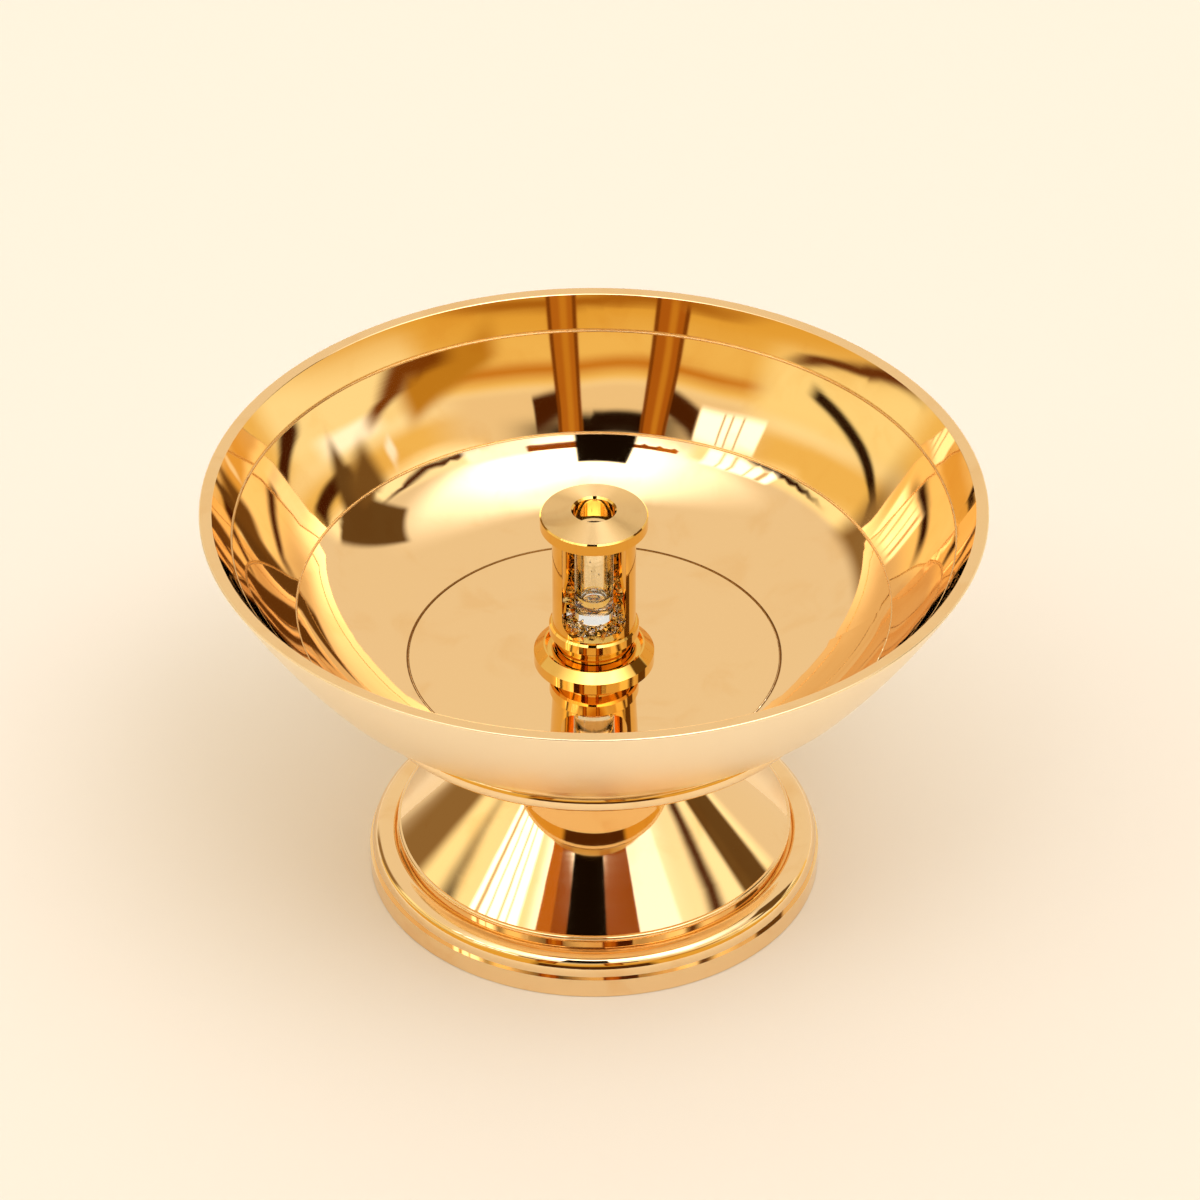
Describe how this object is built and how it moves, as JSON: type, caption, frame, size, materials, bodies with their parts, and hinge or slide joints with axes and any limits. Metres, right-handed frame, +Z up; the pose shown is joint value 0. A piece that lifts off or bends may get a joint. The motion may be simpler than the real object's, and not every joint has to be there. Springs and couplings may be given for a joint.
{
  "type": "butter lamp",
  "caption": "Polished brass butter lamp: a flared bowl on a hollow cone foot, with a loose windowed wick stand that holds a glass vial under a pierced cap.",
  "frame": {"origin": "on the lamp's axis, at the surface that the base ring stands on", "axes": "+Z up along the lamp's axis; -Y is the side seen in the picture, where one window of the wick stand faces; +X to its right"},
  "size_m": [0.1202, 0.1202, 0.0683],
  "materials": {
    "polished_brass": "mirror polished",
    "turned_brass": "satin lathe-turned",
    "fastener_brass": "as machined",
    "spring_steel": "zinc plated",
    "clear_glass": "clear",
    "chip_glass": "clear, broken faces"
  },
  "bodies": {
    "lamp": {"base_ring": "polished_brass", "pedestal": "polished_brass", "seat_ring": "polished_brass", "bowl": "polished_brass", "bowl_stud": "fastener_brass", "flat_washer": "fastener_brass", "spring_washer": "spring_steel", "hex_nut": "fastener_brass"},
    "wick_base": {"wick_base": "polished_brass"},
    "wick_sleeve": {"wick_sleeve": "polished_brass", "glass_chips": "chip_glass"},
    "glass_vial": {"glass_vial": "clear_glass"},
    "wick_cap": {"wick_cap": "turned_brass"}
  },
  "joints": [
    {"name": "stand_lift", "type": "slide", "parent": "lamp", "child": "wick_base", "axis": [0, 0, 1], "range_m": [0, 0.04]},
    {"name": "sleeve_pull", "type": "slide", "parent": "wick_base", "child": "wick_sleeve", "axis": [0, 0, 1], "range_m": [0, 0.01]},
    {"name": "vial_lift", "type": "slide", "parent": "wick_sleeve", "child": "glass_vial", "axis": [0, 0, 1], "range_m": [0, 0.02]},
    {"name": "cap_pull", "type": "slide", "parent": "glass_vial", "child": "wick_cap", "axis": [0, 0, 1], "range_m": [0, 0.01]}
  ]
}
